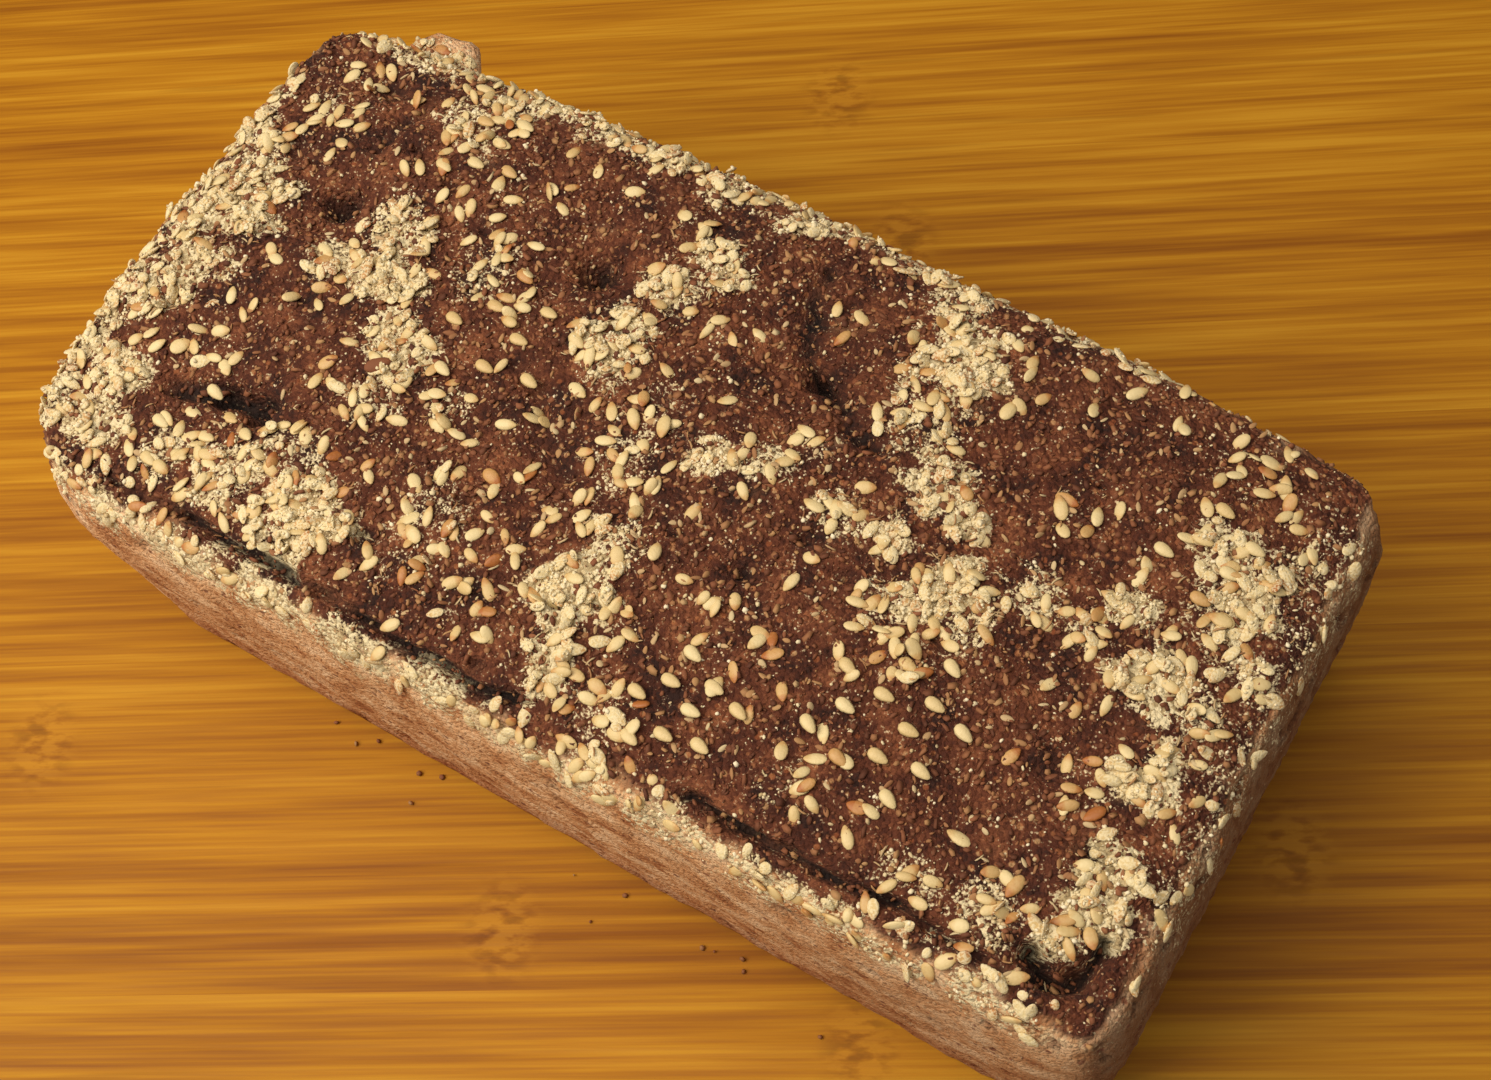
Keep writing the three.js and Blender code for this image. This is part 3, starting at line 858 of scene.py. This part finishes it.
bpy.ops.object.select_all(action="DESELECT")
bpy.ops.mesh.primitive_cylinder_add(vertices=5, radius=0.5 * MM, depth=0.3 * MM)
pattern = bpy.context.object
bpy.ops.object.mode_set(mode="EDIT")
bpy.ops.mesh.select_all(action="SELECT")
bpy.ops.transform.vertex_random(offset=0.12 * MM, seed=5)
bpy.ops.object.mode_set(mode="OBJECT")
scrap_shape = take_shape(pattern)
scraps, scrap_tones = [], []
for _ in range(SCRAP_TRIES):
    spot = drop_on(loaf_tree, rng.uniform(-97, 93), rng.uniform(-45, 50))
    if spot:
        size = 0.35 + 1.0 * rng.random() ** 2.2
        size = size * np.array([rng.uniform(0.8, 1.7), rng.uniform(0.5, 1.0), 1.0])
        heading, lean = rng.uniform(0, math.tau), rng.normal(0, 0.45, 2)
        scraps.append(settle(*spot[:2], heading, lean, 0.05, size))
        scrap_tones.append(rng.beta(2.8, 1.2))
husk = make_husk()
strew("bran_scraps", scrap_shape, scraps, scrap_tones, husk)
bits, bit_tones = [], []
for _ in range(BIT_TRIES):
    spot = drop_on(loaf_tree, rng.uniform(-95, 91), rng.uniform(-43, 48))
    if spot and not gaping[skin_faces[spot[2]]].any():
        size = rng.uniform(0.25, 0.6) * np.array([rng.uniform(0.7, 1.2), rng.uniform(0.7, 1.1), 1.2])
        bits.append(settle(*spot[:2], rng.uniform(0, math.tau), rng.normal(0, 0.4, 2), 0.1, size))
        bit_tones.append(rng.beta(1.5, 2.5))
strew("seed_bits", seed_shape, bits, bit_tones, husk)

bpy.ops.object.select_all(action="DESELECT")
bpy.ops.mesh.primitive_cylinder_add(
    vertices=4, radius=SLIVER_RADIUS, depth=SLIVER_LENGTH, rotation=(0, math.pi / 2, 0)
)
pattern = bpy.context.object
bpy.ops.object.transform_apply(location=True, rotation=True, scale=True)
bpy.ops.object.mode_set(mode="EDIT")
pick("edges", lambda e: runs_along(e, 0))
bpy.ops.mesh.subdivide(number_cuts=3)
for share, sag in SLIVER_RINGS:
    ring = share * SLIVER_LENGTH / 2
    bent = 0.4 * sag * MM
    pick("verts", lambda v: abs(v.co.x - ring) < 0.05 * MM)
    bpy.ops.transform.translate(value=(0, bent, bent))
    bpy.ops.transform.resize(value=(1, 0.5, 0.5) if abs(share) == 1 else (1, 1.2, 1.2),
                             center_override=(ring, bent, bent))
bpy.ops.object.mode_set(mode="OBJECT")
sliver_shape = take_shape(pattern)
slivers, sliver_tones = [], []
for x, y, reach, _, amount in TOPPING:
    for _ in range(int(3 + 7 * amount)):
        distance, angle = 1.25 * reach * math.sqrt(rng.random()), rng.uniform(0, math.tau)
        spot = drop_on(ground, x + distance * math.cos(angle), y + distance * math.sin(angle))
        if spot:
            size = rng.uniform(0.45, 1.1) * np.array([1, 1, rng.uniform(0.7, 1.2)])
            slivers.append(settle(*spot[:2], rng.uniform(0, math.tau), rng.normal(0, 0.25, 2), 0.3, size))
            sliver_tones.append(rng.beta(1.2, 4))
strew("husk_slivers", sliver_shape, slivers, sliver_tones, husk)

point, normal, _ = drop_on(loaf_tree, *LINSEED)
flat = settle(point, normal, 0.6, (0.1, 0.1), 0.4, (1.4, 1.3, 1.6))
strew("linseed", seed_shape, [flat], [0.72], husk)
crumbs = []
for _ in range(CRUMBS):
    spot = (rng.uniform(-50, 70), -49 - 9 * rng.random() ** 1.5, 0.2)
    size = rng.uniform(0.4, 1.2) * rng.uniform(0.6, 1.3, 3)
    crumbs.append(settle(spot, (0, 0, 1), rng.uniform(0, math.tau), rng.normal(0, 0.3, 2), 0.2, size))
strew("fallen_crumbs", granule_shape, crumbs, rng.uniform(0.3, 0.7, CRUMBS), husk)


# Floor and light. A pale worktop, one soft light high on the left, and a wide one overhead.
bpy.ops.mesh.primitive_plane_add(size=6, location=(0, 0, board_low.z))
floor = bpy.context.object
floor.name = "floor"
floor_paint, _, floor_shader = new_material("pale_floor")
floor_shader.inputs["Base Color"].default_value = paint("D8D6D1")
floor_shader.inputs["Roughness"].default_value = 0.8
floor.data.materials.append(floor_paint)

# Each light: name, place, what it looks at, width, power in watts and colour
LIGHTS = [
    ("key", (-0.44, -0.14, 0.60), (0.0, -0.01, 0.05), 0.50, 4.6, (1.0, 0.89, 0.74)),
    ("ceiling", (-0.05, 0.05, 1.30), (0.0, 0.0, 0.0), 1.10, 10.5, (1.0, 0.90, 0.76)),
]
for name, place, aim, width, power, colour in LIGHTS:
    bpy.ops.object.light_add(type="AREA", location=place)
    light = bpy.context.object
    light.name = name
    light.rotation_mode = "QUATERNION"
    light.rotation_quaternion = (Vector(aim) - Vector(place)).to_track_quat("-Z", "Y")
    light.data.size = width
    light.data.energy = power
    light.data.color = colour
world = bpy.data.worlds.new("room")
world.use_nodes = True
world.node_tree.nodes["Background"].inputs["Color"].default_value = (1.0, 0.95, 0.88, 1)
world.node_tree.nodes["Background"].inputs["Strength"].default_value = 0.07
bpy.context.scene.world = world
bpy.context.scene.view_settings.view_transform = "Standard"
